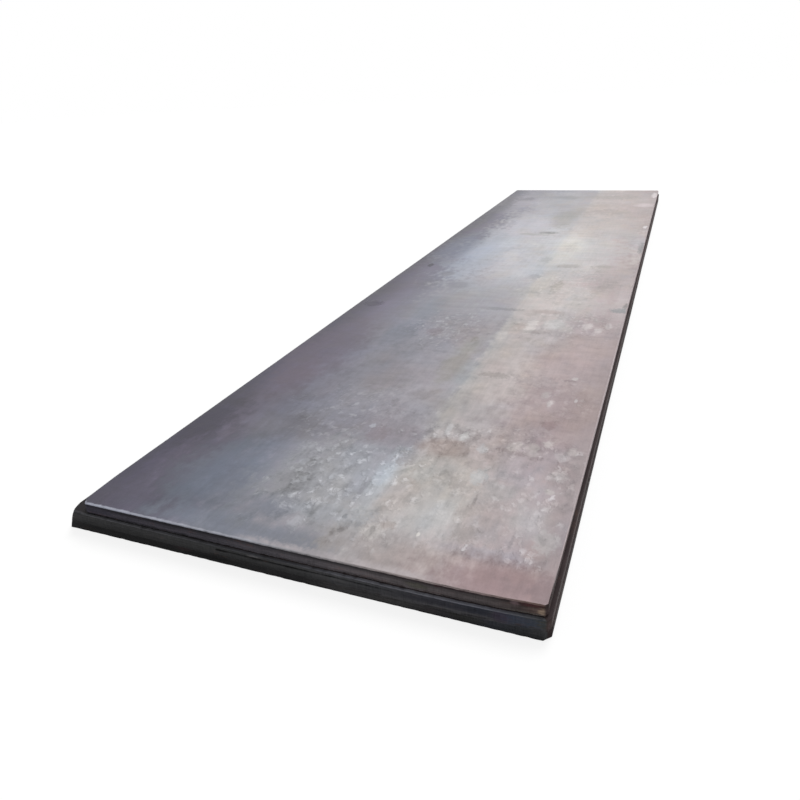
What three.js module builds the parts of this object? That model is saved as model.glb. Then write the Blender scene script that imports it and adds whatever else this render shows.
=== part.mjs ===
// A stack of three hot-rolled steel plates, lying flat and resting on each other.
//
// Units are millimetres, +Z is up, X runs across the plates and +Y along them, away from
// the squared front end. The origin is on the floor, under the middle of the stack.
//
// A plate is one closed skin: its outline in plan, drawn in along the rounded section of
// its edges, and closed above and below by a flat face on a net of stations. The outline is
// a long rectangle with a bowed front end, slightly wandering sides and four clipped corners.

import * as THREE from "three";

// ---- Driving dimensions ---------------------------------------------------------------

const PLATE_WIDTH = 1800; // the top plate, over its sides
const PLATE_LENGTH = 8000; // the top plate, over its ends
const THICKNESS = 45; // of every plate
const SEAT_GAP = 0.3; // left by scale between two plates that lie on each other

// How far each lower plate reaches past the top plate, on each side.
const MIDDLE_OVERHANG = { left: 58, right: 11, front: 13, back: 8 };
const BOTTOM_OVERHANG = { left: 84, right: 13, front: -5, back: -10 };

// Section of the trimmed edges: the radii of the upper and lower arris, and how far the
// face between them swells.
const EDGE = { upperRadius: 2.5, lowerRadius: 3, swell: 0.8 };

// The front ends are cut a little bowed. They stand furthest out on one line, right of the
// top plate's middle, and fall back from it by this much at the left and right side.
const BOW_OFFSET = 570;
const TOP_BOW = { left: 6, right: 12 };
const MIDDLE_BOW = { left: 9, right: 14 };
const BOTTOM_BOW = { left: 1, right: 1 };

// The torch has clipped the corners. A clip takes this much off the end and this much off
// the side, through a knee between them. The share below is what it still takes at the
// lower face, because a slanted torch leaves more metal there.
const TOP_CLIPS = {
  frontLeft: { across: 28, along: 200, knee: { across: 6, along: 26 }, below: 1 },
  frontRight: straightClip(5, 5),
  backLeft: straightClip(5, 8),
  backRight: straightClip(9, 8),
};
const MIDDLE_CLIPS = {
  frontLeft: { across: 23, along: 56, knee: { across: 9, along: 22 }, below: 0.05 },
  frontRight: straightClip(5, 12),
  backLeft: straightClip(10, 8),
  backRight: straightClip(5, 8),
};
const BOTTOM_CLIPS = {
  frontLeft: { across: 19, along: 20, knee: { across: 9, along: 9 }, below: 0.05 },
  frontRight: straightClip(19, 24),
  backLeft: straightClip(10, 10),
  backRight: straightClip(11, 10),
};

// Wander of the long sides in plan: its depth and the length of one wave.
const SIDE_WANDER = 1.2;
const SIDE_WAVE = 2900;

// ---- Net of stations ------------------------------------------------------------------

const ACROSS_STEPS = 14; // over the whole width
const ALONG_STEPS = 26; // over the whole length
const ARRIS_STEPS = 3; // round each arris
const SWELL_STEPS = 3; // down the edge between them

// ---- Finish ---------------------------------------------------------------------------

const MILL_SCALE = { color: 0x8a868c, roughness: 0.55, metalness: 0.45 };
const DARK_SCALE = { color: 0x6d6a6e, roughness: 0.6, metalness: 0.45 };

// ---- Clips ----------------------------------------------------------------------------

// A clip with its knee on the straight line between its two ends.
function straightClip(across, along) {
  return { across, along, knee: { across: across / 2, along: along / 2 }, below: 1 };
}

// The clip at a height over the lower face. It starts inside the rounding of the edges, so
// that the rounding has room to turn the corner.
function clipAt({ across, along, knee, below }, height) {
  const share = THREE.MathUtils.lerp(below, 1, height / THICKNESS);
  return {
    across: EDGE_REACH + across * share,
    along: EDGE_REACH + along * share,
    kneeAcross: EDGE_REACH / 2 + knee.across * share,
    kneeAlong: EDGE_REACH / 2 + knee.along * share,
  };
}

// ---- Edges ----------------------------------------------------------------------------

// The section of an edge from the upper face down to the lower one. Each point is its
// height over the lower face, and how far it lies inside the outermost line of the edge.
function edgeSection({ upperRadius, lowerRadius, swell }) {
  const section = [];
  const shoulder = THICKNESS - upperRadius;
  for (let i = 0; i <= ARRIS_STEPS; i++) {
    const turn = (Math.PI / 2) * (i / ARRIS_STEPS);
    section.push({
      height: shoulder + upperRadius * Math.cos(turn),
      inset: swell + upperRadius * (1 - Math.sin(turn)),
    });
  }
  for (let i = 1; i < SWELL_STEPS; i++) {
    const down = i / SWELL_STEPS;
    section.push({
      height: THREE.MathUtils.lerp(shoulder, lowerRadius, down),
      inset: swell * (1 - Math.sin(Math.PI * down)),
    });
  }
  for (let i = 0; i <= ARRIS_STEPS; i++) {
    const turn = (Math.PI / 2) * (1 - i / ARRIS_STEPS);
    section.push({
      height: lowerRadius * (1 - Math.cos(turn)),
      inset: swell + lowerRadius * (1 - Math.sin(turn)),
    });
  }
  return section;
}

const SECTION = edgeSection(EDGE);
const EDGE_REACH = Math.max(...SECTION.map((point) => point.inset));

// Draws a closed outline in by a distance, with mitred corners. It is walked anticlockwise.
function drawIn(outline, distance) {
  const count = outline.length;
  const normals = outline.map((point, i) => {
    const edge = outline[(i + 1) % count].clone().sub(point).normalize();
    return new THREE.Vector2(edge.y, -edge.x);
  });
  return outline.map((point, i) => {
    const before = normals[(i + count - 1) % count];
    const mitre = before.clone().add(normals[i]).divideScalar(1 + before.dot(normals[i]));
    return point.clone().addScaledVector(mitre, -distance);
  });
}

// ---- Skin of a plate ------------------------------------------------------------------

const LAST_COLUMN = ACROSS_STEPS + 2;
const LAST_ROW = ALONG_STEPS + 2;

// The rim of the net as [column, row], walked once round, anticlockwise from above.
function walkRim() {
  const rim = [];
  for (let column = 0; column < LAST_COLUMN; column++) rim.push([column, 0]);
  for (let row = 0; row < LAST_ROW; row++) rim.push([LAST_COLUMN, row]);
  for (let column = LAST_COLUMN; column > 0; column--) rim.push([column, LAST_ROW]);
  for (let row = LAST_ROW; row > 0; row--) rim.push([0, row]);
  return rim;
}

const RIM = walkRim();

// Stations from 0 to a length: both ends, the inner end of the clip at each, and even
// steps between them.
function station(number, steps, length, clipFrom, clipTo) {
  if (number === 0) return 0;
  if (number === 1) return clipFrom;
  if (number === steps + 1) return length - clipTo;
  if (number === steps + 2) return length;
  return (length * (number - 1)) / steps;
}

// One plate, centred on X and Y, with its lower face at height 0. The bow is given with the
// place across of its line.
function plateGeometry({ width, length, bow, bowLine, clips, wavePhase }) {
  // How far the front end falls back at a place across.
  function fallBack(x) {
    const offset = x - bowLine;
    return offset < 0
      ? bow.left * (offset / (width / 2 + bowLine)) ** 2
      : bow.right * (offset / (width / 2 - bowLine)) ** 2;
  }

  // A point of the net at a height, on the outermost line of the edges where it is on the rim.
  function place(column, row, height) {
    const onLeft = column < LAST_COLUMN / 2;
    const onFront = row < LAST_ROW / 2;
    const clip = (name) => clipAt(clips[name], height);
    const front = clip(onLeft ? "frontLeft" : "frontRight");
    const back = clip(onLeft ? "backLeft" : "backRight");
    const left = clip(onFront ? "frontLeft" : "backLeft");
    const right = clip(onFront ? "frontRight" : "backRight");
    let x = station(column, ACROSS_STEPS, width, left.across, right.across) - width / 2;
    let y = station(row, ALONG_STEPS, length, front.along, back.along) - length / 2;
    const side = column === 0 ? -1 : column === LAST_COLUMN ? 1 : 0;
    const end = row === 0 ? -1 : row === LAST_ROW ? 1 : 0;
    if (side !== 0 && end !== 0) {
      const corner = side < 0 ? left : right;
      x -= side * corner.kneeAcross;
      y -= end * corner.kneeAlong;
    }
    const wave = Math.cos((2 * Math.PI * y) / SIDE_WAVE + wavePhase + side);
    x -= side * SIDE_WANDER * (0.5 - 0.5 * wave);
    if (row < 2) y += fallBack(x);
    return new THREE.Vector2(x, y);
  }

  const positions = [];
  const index = [];
  function addPoint({ x, y }, height) {
    positions.push(x, y, height);
    return positions.length / 3 - 1;
  }
  function addQuad(a, b, c, d) {
    index.push(a, b, c, a, c, d);
  }

  // The edge all round, ring by ring from the upper rim to the lower one.
  const rings = SECTION.map(({ height, inset }) => {
    const outline = RIM.map(([column, row]) => place(column, row, height));
    return drawIn(outline, inset).map((point) => addPoint(point, height));
  });
  for (let ring = 1; ring < rings.length; ring++) {
    const [above, below] = [rings[ring - 1], rings[ring]];
    for (let i = 0; i < RIM.length; i++) {
      const next = (i + 1) % RIM.length;
      addQuad(above[i], below[i], below[next], above[next]);
    }
  }

  // A face on the whole net, from the rim's points and its own inside it.
  function addFace(rimPoints, height, upwards) {
    const net = [];
    for (let row = 0; row <= LAST_ROW; row++) {
      net.push([]);
      for (let column = 0; column <= LAST_COLUMN; column++) {
        const rimNumber = RIM.findIndex(([c, r]) => c === column && r === row);
        net[row].push(
          rimNumber < 0 ? addPoint(place(column, row, height), height) : rimPoints[rimNumber],
        );
      }
    }
    for (let row = 0; row < LAST_ROW; row++) {
      for (let column = 0; column < LAST_COLUMN; column++) {
        const [a, b] = [net[row][column], net[row][column + 1]];
        const [c, d] = [net[row + 1][column + 1], net[row + 1][column]];
        if (upwards) addQuad(a, b, c, d);
        else addQuad(a, d, c, b);
      }
    }
  }
  addFace(rings[0], THICKNESS, true);
  addFace(rings[rings.length - 1], 0, false);

  const geometry = new THREE.BufferGeometry();
  geometry.setAttribute("position", new THREE.Float32BufferAttribute(positions, 3));
  geometry.setIndex(index);
  geometry.computeVertexNormals();
  return geometry;
}

// ---- The stack ------------------------------------------------------------------------

// A plate in the stack. Its overhang is measured from the top plate, which is centred on
// the stack's own axes.
function plate({ name, level, overhang, bow, clips, wavePhase, finish }) {
  const x = (overhang.right - overhang.left) / 2;
  const y = (overhang.back - overhang.front) / 2;
  const geometry = plateGeometry({
    width: PLATE_WIDTH + overhang.left + overhang.right,
    length: PLATE_LENGTH + overhang.front + overhang.back,
    bow,
    bowLine: BOW_OFFSET - x,
    clips,
    wavePhase,
  });
  const mesh = new THREE.Mesh(geometry, new THREE.MeshStandardMaterial(finish));
  mesh.name = name;
  mesh.position.set(x, y, level * (THICKNESS + SEAT_GAP));
  return mesh;
}

const stack = new THREE.Group();
stack.name = "steel_plate_stack";
stack.add(
  plate({
    name: "bottom_plate",
    level: 0,
    overhang: BOTTOM_OVERHANG,
    bow: BOTTOM_BOW,
    clips: BOTTOM_CLIPS,
    wavePhase: 0.4,
    finish: DARK_SCALE,
  }),
  plate({
    name: "middle_plate",
    level: 1,
    overhang: MIDDLE_OVERHANG,
    bow: MIDDLE_BOW,
    clips: MIDDLE_CLIPS,
    wavePhase: 2.1,
    finish: DARK_SCALE,
  }),
  plate({
    name: "top_plate",
    level: 2,
    overhang: { left: 0, right: 0, front: 0, back: 0 },
    bow: TOP_BOW,
    clips: TOP_CLIPS,
    wavePhase: 3.9,
    finish: MILL_SCALE,
  }),
);

// The origin goes to the floor under the middle of the whole stack.
const middle = new THREE.Box3().setFromObject(stack).getCenter(new THREE.Vector3());
stack.position.set(-middle.x, -middle.y, 0);

export default stack;
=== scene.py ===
"""Looks of a stack of three hot-rolled steel plates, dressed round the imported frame.

Everything is in metres, in the frame's own axes: X across the plates, +Y along them away
from the squared front end, +Z up, and the floor at z = 0. In the comments, u is the distance
from the top plate's left edge and v the distance from its front end.
"""

import math

import bpy
import numpy as np
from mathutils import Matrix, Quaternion, Vector, noise
from mathutils.bvhtree import BVHTree
from mathutils.geometry import delaunay_2d_cdt


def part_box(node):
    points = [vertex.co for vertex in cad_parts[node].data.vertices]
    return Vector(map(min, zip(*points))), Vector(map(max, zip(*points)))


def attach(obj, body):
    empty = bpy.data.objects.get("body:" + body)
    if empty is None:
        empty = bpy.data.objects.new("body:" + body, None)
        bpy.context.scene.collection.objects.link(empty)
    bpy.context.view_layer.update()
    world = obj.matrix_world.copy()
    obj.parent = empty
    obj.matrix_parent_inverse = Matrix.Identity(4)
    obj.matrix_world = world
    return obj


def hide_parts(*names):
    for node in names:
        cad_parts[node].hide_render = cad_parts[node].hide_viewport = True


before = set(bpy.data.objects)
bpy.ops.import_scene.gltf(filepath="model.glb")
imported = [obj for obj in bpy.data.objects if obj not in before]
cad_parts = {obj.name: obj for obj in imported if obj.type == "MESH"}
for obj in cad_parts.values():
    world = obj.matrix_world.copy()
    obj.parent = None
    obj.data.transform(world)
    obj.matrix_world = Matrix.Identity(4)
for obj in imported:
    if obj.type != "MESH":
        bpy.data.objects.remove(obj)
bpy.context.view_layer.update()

MM = 0.001
TOP_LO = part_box("top_plate")[0]
FACE_WIDTH = 1.8  # u at the top plate's right edge
FACE_LENGTH = 8.0  # v at its back end
THICKNESS = 45 * MM

# ---- Camera ---------------------------------------------------------------------------

CAMERA_PLACE = (1.1322, -5.5641, 1.5363)
CAMERA_AIM = (-0.0659, -2.844, 0.1356)
CAMERA_ROLL = math.radians(3.359)
SENSOR_WIDTH = 36.0
LENS = 30.49
SHIFT = (0.0242, 0.0053)
FARTHEST = 200.0  # what lies further off isn't drawn


def make_camera():
    data = bpy.data.cameras.new("camera")
    data.sensor_width = SENSOR_WIDTH
    data.lens = LENS
    data.shift_x, data.shift_y = SHIFT
    data.clip_end = FARTHEST
    camera = bpy.data.objects.new("camera", data)
    aim = Vector(CAMERA_AIM) - Vector(CAMERA_PLACE)
    camera.rotation_mode = "QUATERNION"
    turn = Quaternion((0.0, 0.0, 1.0), -CAMERA_ROLL)
    camera.rotation_quaternion = aim.to_track_quat("-Z", "Y") @ turn
    camera.location = CAMERA_PLACE
    bpy.context.scene.collection.objects.link(camera)
    bpy.context.scene.camera = camera


# ---- The edge of a plate --------------------------------------------------------------

CORE_INSET = 30 * MM  # the line the edge is found from, inside the plate's box
CORE_DEPTH = 14 * MM  # the same, under a face
LEVEL_DEPTH = 5 * MM  # under a face, where the edge is straight
FRONT_STEP = 4 * MM  # between two stations along the front end
BACK_STEP = 7 * MM
SIDE_STEP = 21 * MM
RAY_LEAD = 100 * MM  # how far outside a plate a ray starts
FADE_DEPTH = 9 * MM  # in from the edge, where the relief has run out
SAME_PLACE = 1e-7  # places of the net closer than this are one
CORNER_STEPS = 22  # turns of the outward direction round one corner

# Places of the section's points: in from the edge on a face, and down from the face.
RIM_INSETS = [i * MM for i in (30, 20, 13, 9, 6.5, 4.5, 3, 1.5, 0)]
RIM_DROPS = [i * MM for i in (1.2, 2.5, 4, 6, 8, 10, 12, 14, 16, 18, 20)]
FACE_ROWS = RIM_INSETS.index(3 * MM)  # rows of the section that still look like the face

# Points inside a face: how far in each ring of them lies, and their spacing.
FACE_RINGS = ((42 * MM, 16 * MM), (68 * MM, 36 * MM), (120 * MM, 66 * MM))
FACE_GRID = 110 * MM

# A torch cut strayed along the middle plate's front end and left a groove there.
GROOVE_NODE = "middle_plate"
GROOVE_SPAN = (0.635, 1.37)  # u
GROOVE_PITS = ((0.655, 0.035), (0.805, 0.025))  # u, half width
GROOVE_DROP = 15 * MM
GROOVE_HEIGHT = 6 * MM
GROOVE_DEPTH = 4 * MM

# The top plate's front arris is sharp on the left and chipped on the right.
CHIPPED_FROM, CHIPPED_TO = 0.78, 1.1  # u

SEEDS = {"top_plate": 3.1, "middle_plate": 17.7, "bottom_plate": 41.3}


def frange(start, stop, step):
    count = max(1, round((stop - start) / step))
    return [start + (stop - start) * i / count for i in range(count + 1)]


def rim_columns(lo, hi):
    """Walks the line inside the rim anticlockwise: (x, y, outward x, outward y)."""
    x0, x1 = lo.x + CORE_INSET, hi.x - CORE_INSET
    y0, y1 = lo.y + CORE_INSET, hi.y - CORE_INSET
    sides = (
        ((x0, y0), (x1, y0), FRONT_STEP),
        ((x1, y0), (x1, y1), SIDE_STEP),
        ((x1, y1), (x0, y1), BACK_STEP),
        ((x0, y1), (x0, y0), SIDE_STEP),
    )
    columns = []
    for number, (start, end, step) in enumerate(sides):
        outward = math.radians(-90 + 90 * number)
        length = math.dist(start, end)
        for run in frange(0.0, length, step):
            share = run / length
            x = start[0] + (end[0] - start[0]) * share
            y = start[1] + (end[1] - start[1]) * share
            columns.append((x, y, math.cos(outward), math.sin(outward)))
        for turn in range(1, CORNER_STEPS):
            angle = outward + math.radians(90) * turn / CORNER_STEPS
            columns.append((end[0], end[1], math.cos(angle), math.sin(angle)))
    return columns


def wave(x, y=0.0, z=0.0):
    """Smooth noise about zero, mostly within -1 to 1."""
    return noise.noise(Vector((x, y, z))) * 1.6


def bell(value, middle, half):
    return max(0.0, 1.0 - ((value - middle) / half) ** 2)


def groove(node, x, drop):
    start, stop = GROOVE_SPAN
    u = x - TOP_LO.x
    if node != GROOVE_NODE or not start < u < stop:
        return 0.0
    line = GROOVE_DROP + 1.6 * MM * wave(u / 0.13, 2.0)
    # it starts at once, as a burnt pit, and runs out slowly
    strength = min(1.0, (u - start) / 0.006) * min(1.0, (stop - u) / 0.15)
    pit = 0.35 * sum(bell(u, middle, half) for middle, half in GROOVE_PITS)
    ragged = 0.72 + 0.28 * wave(u / 0.021, 5.0)
    height = GROOVE_HEIGHT * (0.5 + pit)
    return GROOVE_DEPTH * (ragged * strength + pit) * bell(drop, line, height)


def end_loss(node, x, side, inset, drop, thick):
    """Metal missing from a torch-cut end."""
    seed = SEEDS[node] + side
    broad = 0.5 + 0.5 * wave(x / 0.12, drop / 0.08, seed)
    bite = 0.5 + 0.5 * wave(x / 0.022, drop / 0.05, seed + 4)
    ledge = max(0.0, wave(x / 0.42, drop / 0.0075, seed + 8))
    loss = (0.7 * broad + 0.35 * bite + 0.7 * ledge) * MM
    upper = max(0.0, 1.0 - (inset + drop) / (5 * MM))
    worn = max(0.0, wave(x / 0.017, seed + 12) + 0.5 * wave(x / 0.16, seed + 13) - 0.25)
    if node == "top_plate" and side == 0:
        chipped = (x - TOP_LO.x - CHIPPED_FROM) / (CHIPPED_TO - CHIPPED_FROM)
        worn *= 0.25 + 1.25 * min(1.0, max(0.0, chipped))
    lower = max(0.0, 1.0 - (inset + thick - drop) / (6 * MM))
    ragged = max(0.0, wave(x / 0.024, seed + 16) + 0.15)
    loss += 2.6 * MM * worn * upper + 1.3 * MM * ragged * lower
    return loss


def side_loss(node, y, side, inset, drop, thick):
    """Metal missing from a rolled edge: shallow lumps, and laps where the rolls folded it."""
    seed = SEEDS[node] + 30 + side
    lumps = 0.5 + 0.5 * wave(y / 0.16, drop / 0.022, seed)
    lap_line = thick * (0.5 + 0.16 * wave(y / 1.1, seed + 3))
    lap = max(0.0, wave(y / 0.5, seed + 5) + 0.35) * bell(drop, lap_line, 2.6 * MM)
    return (0.55 * lumps + 0.75 * lap) * MM


def edge_loss(node, column, place, inset, drop, thick):
    """How far a point of the edge lies inside the plain solid."""
    end = column[3] ** 2
    loss = 0.0
    if end > 0.0:
        side = 0 if column[3] < 0 else 1
        loss += end * end_loss(node, place.x, side, inset, drop, thick)
    if end < 1.0:
        side = 0 if column[2] < 0 else 1
        loss += (1.0 - end) * side_loss(node, place.y, side, inset, drop, thick)
    if column[3] < -0.99:
        loss += groove(node, place.x, drop)
    return max(0.0, loss) * max(0.0, 1.0 - inset / FADE_DEPTH)


class Skin:
    """The surface of one packed plate, found by rays."""

    def __init__(self, node):
        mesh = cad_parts[node].data
        mesh.calc_loop_triangles()
        corners = [v.co.copy() for v in mesh.vertices]
        triangles = [tuple(t.vertices) for t in mesh.loop_triangles]
        self.node = node
        self.tree = BVHTree.FromPolygons(corners, triangles)
        self.lo, self.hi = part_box(node)

    def top(self, x, y):
        hit = self.tree.ray_cast(Vector((x, y, self.hi.z + RAY_LEAD)), Vector((0, 0, -1)))
        return hit[0].z

    def bottom(self, x, y):
        hit = self.tree.ray_cast(Vector((x, y, self.lo.z - RAY_LEAD)), Vector((0, 0, 1)))
        return hit[0].z

    def section(self, column):
        """Points of the edge at one column, from the upper face round to the lower one.

        Each is (place, in from the edge, down from the upper face, metal missing)."""
        x, y, out_x, out_y = column
        out = Vector((out_x, out_y, 0.0))
        top, bottom = self.top(x, y), self.bottom(x, y)
        thick = top - bottom
        upper = self.tree.ray_cast(Vector((x, y, top - LEVEL_DEPTH)), out)[3]
        lower = self.tree.ray_cast(Vector((x, y, bottom + LEVEL_DEPTH)), out)[3]
        drops = [0.0] * len(RIM_INSETS) + RIM_DROPS + [thick / 2]
        insets = RIM_INSETS + [0.0] * (len(RIM_DROPS) + 1)
        drops += [thick - d for d in reversed(drops[:-1])]
        insets += list(reversed(insets[:-1]))
        points = []
        for inset, drop in zip(insets, drops):
            reach = upper + (lower - upper) * drop / thick
            run = max(reach - inset, 0.0)
            target = Vector((x, y, top - drop)) + out * run
            start_run = min(run, reach - CORE_DEPTH)
            start_z = min(max(target.z, bottom + CORE_DEPTH), top - CORE_DEPTH)
            start = Vector((x, y, start_z)) + out * start_run
            aim = (target - start).normalized()
            place = self.tree.ray_cast(start, aim)[0]
            loss = edge_loss(self.node, column, place, inset, drop, thick)
            points.append((place - aim * loss, inset, drop, loss))
        return points


# ---- A plate's mesh -------------------------------------------------------------------


def face_points(lo, hi):
    """Places inside a face, close together near its rim and wide apart in the middle."""
    places = []
    for inset, step in FACE_RINGS:
        x0, x1, y0, y1 = lo.x + inset, hi.x - inset, lo.y + inset, hi.y - inset
        xs, ys = frange(x0, x1, step), frange(y0, y1, step)
        places += [(x, y0) for x in xs[:-1]]
        places += [(x1, y) for y in ys[:-1]]
        places += [(x, y1) for x in xs[1:]]
        places += [(x0, y) for y in ys[1:]]
    margin = FACE_RINGS[-1][0] + FACE_GRID * 0.6
    for x in frange(lo.x + margin, hi.x - margin, FACE_GRID):
        for y in frange(lo.y + margin, hi.y - margin, FACE_GRID):
            places.append((x, y))
    return places


def plate_mesh(name, node):
    """The mesh, with material 0 on the upper face and material 1 on all the rest."""
    skin = Skin(node)
    columns = rim_columns(skin.lo, skin.hi)
    sections = [skin.section(column) for column in columns]
    rows = len(sections[0])
    count = len(columns)
    verts, insets, drops, losses, ends = [], [], [], [], []
    for column, section in zip(columns, sections):
        for place, inset, drop, loss in section:
            verts.append(place)
            insets.append(inset)
            drops.append(drop)
            losses.append(loss)
            ends.append(column[3] ** 2)
    faces, finishes = [], []
    for c in range(count):
        following = (c + 1) % count
        for r in range(rows - 1):
            a, b = c * rows + r, c * rows + r + 1
            d, e = following * rows + r, following * rows + r + 1
            faces.append((a, b, e, d))
            finishes.append(0 if r < FACE_ROWS else 1)
    places = face_points(skin.lo, skin.hi)
    for level, height in ((0, skin.top), (rows - 1, skin.bottom)):
        # the columns of a corner's fan share one point of the inner line
        rim, seen = [], set()
        for c in range(count):
            number = c * rows + level
            key = (round(verts[number].x, 5), round(verts[number].y, 5))
            if key not in seen:
                seen.add(key)
                rim.append(number)
        flat = [verts[number].xy for number in rim] + [Vector(p) for p in places]
        loop = [(i, (i + 1) % len(rim)) for i in range(len(rim))]
        points, _, triangles, source, _, _ = delaunay_2d_cdt(flat, loop, [], 1, SAME_PLACE)
        numbers = []
        for point, origin in zip(points, source):
            if origin and origin[0] < len(rim):
                numbers.append(rim[origin[0]])
                continue
            numbers.append(len(verts))
            verts.append(Vector((point.x, point.y, height(point.x, point.y))))
            insets.append(CORE_INSET)
            drops.append(drops[level])
            losses.append(0.0)
            ends.append(0.0)
        for triangle in triangles:
            ring = [numbers[i] for i in triangle]
            faces.append(tuple(ring if level == 0 else reversed(ring)))
            finishes.append(0 if level == 0 else 1)
    mesh = bpy.data.meshes.new(name)
    mesh.from_pydata([tuple(v) for v in verts], [], faces)
    # places the materials read: in from the edge, down from the upper face, metal
    # missing (all metres), and 1 on a cut end
    for label, values in (
        ("edge_inset", insets),
        ("edge_drop", drops),
        ("edge_loss", losses),
        ("end_face", ends),
    ):
        attribute = mesh.attributes.new(label, "FLOAT", "POINT")
        attribute.data.foreach_set("value", np.array(values, np.float32))
    mesh.polygons.foreach_set("material_index", finishes)
    mesh.polygons.foreach_set("use_smooth", [True] * len(mesh.polygons))
    mesh.update()
    return mesh


def make_plate(node, upper, rest):
    """A plate with a material for its upper face and one for its edge and underside."""
    name = node + "_steel"
    piece = bpy.data.objects.new(name, plate_mesh(name, node))
    bpy.context.scene.collection.objects.link(piece)
    piece.data.materials.append(upper)
    piece.data.materials.append(rest)
    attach(piece, "root")
    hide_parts(node)
    return piece


# ---- Stage ----------------------------------------------------------------------------

SKY_LIGHT = 0.45  # what the world gives as light; what it shows is white
SUN_HEIGHT = math.radians(62)
SUN_TURN = math.radians(12)  # from straight behind the stack, towards its right
SUN_LIGHT = 1.8
SUN_WIDTH = math.radians(32)
FLOOR_HALF = 60.0
FLOOR_DROP = 0.2 * MM  # under the stack, so that the two faces don't flicker
FLOOR_PALE = 0.85  # the grey that lights the stack from below
FLOOR_SHADOWED = 0.19  # the part of the seen floor that a shadow darkens
FLOOR_GLOW = 0.84  # the part that stays white


def seen_rays(tree):
    """1 where a ray shows the background: to the camera, in a reflection, or through glass."""
    path = tree.nodes.new("ShaderNodeLightPath")
    total = path.outputs["Is Camera Ray"]
    for name in ("Is Glossy Ray", "Is Transmission Ray"):
        larger = tree.nodes.new("ShaderNodeMath")
        larger.operation = "MAXIMUM"
        tree.links.new(total, larger.inputs[0])
        tree.links.new(path.outputs[name], larger.inputs[1])
        total = larger.outputs[0]
    return total


def make_world():
    world = bpy.data.worlds.new("world")
    bpy.context.scene.world = world
    world.use_nodes = True
    tree = world.node_tree
    background = tree.nodes["Background"]
    background.inputs["Color"].default_value = (1, 1, 1, 1)
    strength = tree.nodes.new("ShaderNodeMapRange")
    strength.inputs["To Min"].default_value = SKY_LIGHT
    strength.inputs["To Max"].default_value = 1.0
    tree.links.new(seen_rays(tree), strength.inputs["Value"])
    tree.links.new(strength.outputs[0], background.inputs["Strength"])


def make_sun():
    data = bpy.data.lights.new("sun", "SUN")
    data.energy = SUN_LIGHT
    data.angle = SUN_WIDTH
    sun = bpy.data.objects.new("sun", data)
    flat = math.cos(SUN_HEIGHT)
    towards = Vector(
        (flat * math.sin(SUN_TURN), flat * math.cos(SUN_TURN), math.sin(SUN_HEIGHT))
    )
    sun.rotation_mode = "QUATERNION"
    sun.rotation_quaternion = towards.to_track_quat("Z", "Y")
    bpy.context.scene.collection.objects.link(sun)


def make_floor():
    mesh = bpy.data.meshes.new("floor")
    half = FLOOR_HALF
    corners = [(-half, -half, 0), (half, -half, 0), (half, half, 0), (-half, half, 0)]
    mesh.from_pydata(corners, [], [(0, 1, 2, 3)])
    floor = bpy.data.objects.new("floor", mesh)
    floor.location.z = -FLOOR_DROP
    bpy.context.scene.collection.objects.link(floor)
    material = bpy.data.materials.new("floor_white")
    material.use_nodes = True
    tree = material.node_tree
    tree.nodes.clear()
    output = tree.nodes.new("ShaderNodeOutputMaterial")
    # what lights the stack is a plain pale floor; what is seen is white with a soft shadow
    pale = tree.nodes.new("ShaderNodeBsdfDiffuse")
    pale.inputs["Color"].default_value = (FLOOR_PALE,) * 3 + (1,)
    shadowed = tree.nodes.new("ShaderNodeBsdfDiffuse")
    shadowed.inputs["Color"].default_value = (FLOOR_SHADOWED,) * 3 + (1,)
    glow = tree.nodes.new("ShaderNodeEmission")
    glow.inputs["Strength"].default_value = FLOOR_GLOW
    both = tree.nodes.new("ShaderNodeAddShader")
    choice = tree.nodes.new("ShaderNodeMixShader")
    tree.links.new(shadowed.outputs[0], both.inputs[0])
    tree.links.new(glow.outputs[0], both.inputs[1])
    tree.links.new(seen_rays(tree), choice.inputs[0])
    tree.links.new(pale.outputs[0], choice.inputs[1])
    tree.links.new(both.outputs[0], choice.inputs[2])
    tree.links.new(choice.outputs[0], output.inputs[0])
    mesh.materials.append(material)


# ---- Materials ------------------------------------------------------------------------


def tone(red, green, blue):
    """A colour as a screen shows it, 0 to 255, in the linear light Blender works in."""
    shares = [value / 255 for value in (red, green, blue)]
    return tuple(
        s / 12.92 if s <= 0.04045 else ((s + 0.055) / 1.055) ** 2.4 for s in shares
    ) + (1.0,)


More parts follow.
